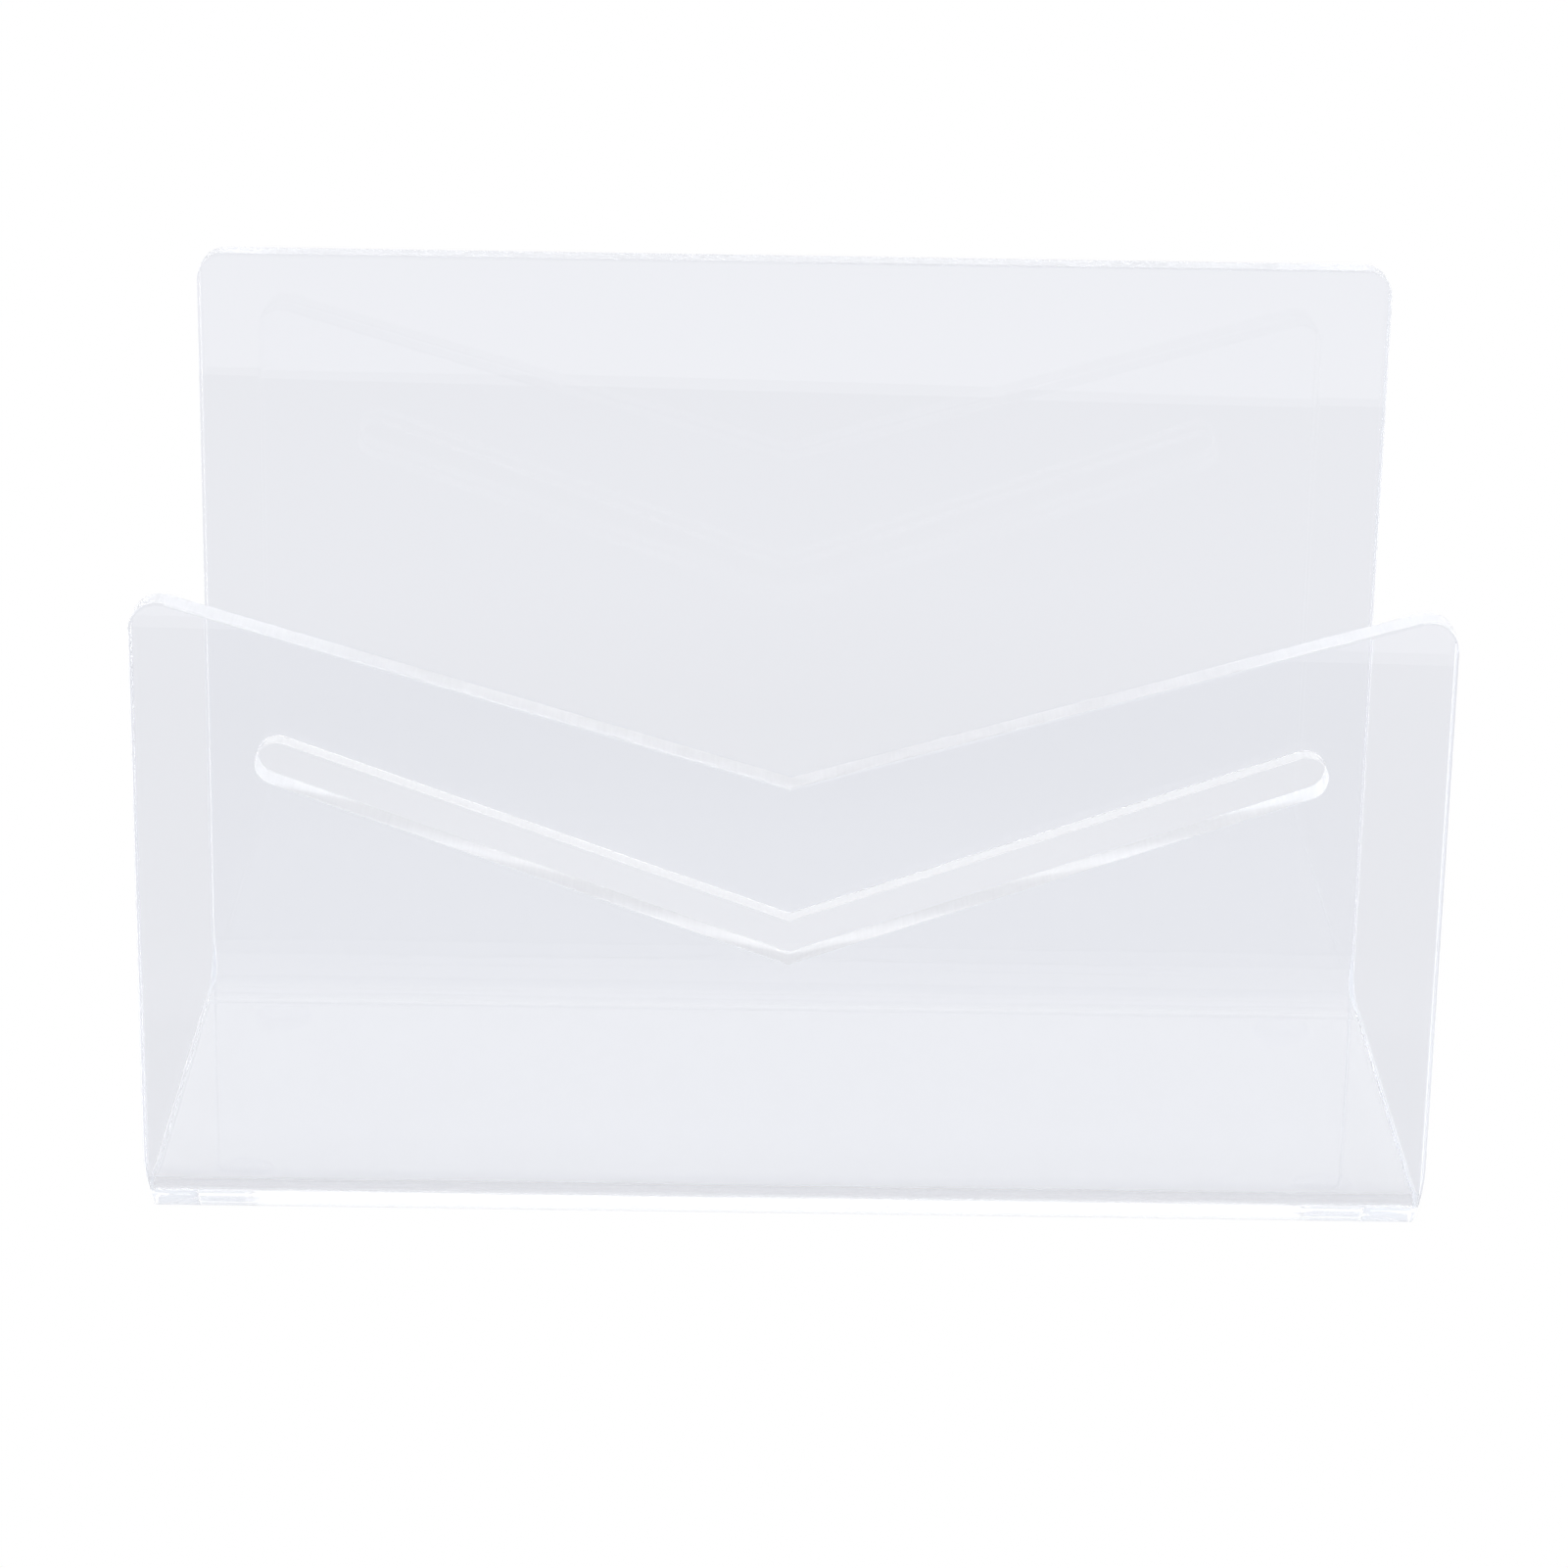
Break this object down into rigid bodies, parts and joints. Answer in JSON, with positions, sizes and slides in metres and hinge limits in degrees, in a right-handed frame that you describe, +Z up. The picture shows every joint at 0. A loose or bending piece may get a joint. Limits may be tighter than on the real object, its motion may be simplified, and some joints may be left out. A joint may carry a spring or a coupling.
{
  "type": "mail organizer",
  "caption": "Clear acrylic desk holder for letters: one sheet bent into a low V-topped front with a V slot, a floor and a tall back, on clear stick-on bumpers.",
  "frame": {"origin": "on the desk, under the middle of the organizer", "axes": "+X to the right as seen from the front, along the panels; +Y from the low front panel to the tall back panel; +Z up"},
  "size_m": [0.18, 0.0928, 0.1226],
  "materials": {
    "clear_acrylic": "polished, clear",
    "clear_polyurethane": "smooth, clear",
    "clear_adhesive": "clear film"
  },
  "bodies": {
    "root": {"bent_sheet": "clear_acrylic", "bumper_front_left": "clear_polyurethane", "bumper_front_right": "clear_polyurethane", "bumper_rear_left": "clear_polyurethane", "bumper_rear_right": "clear_polyurethane", "adhesive_front_left": "clear_adhesive", "adhesive_front_right": "clear_adhesive", "adhesive_rear_left": "clear_adhesive", "adhesive_rear_right": "clear_adhesive"}
  },
  "joints": []
}
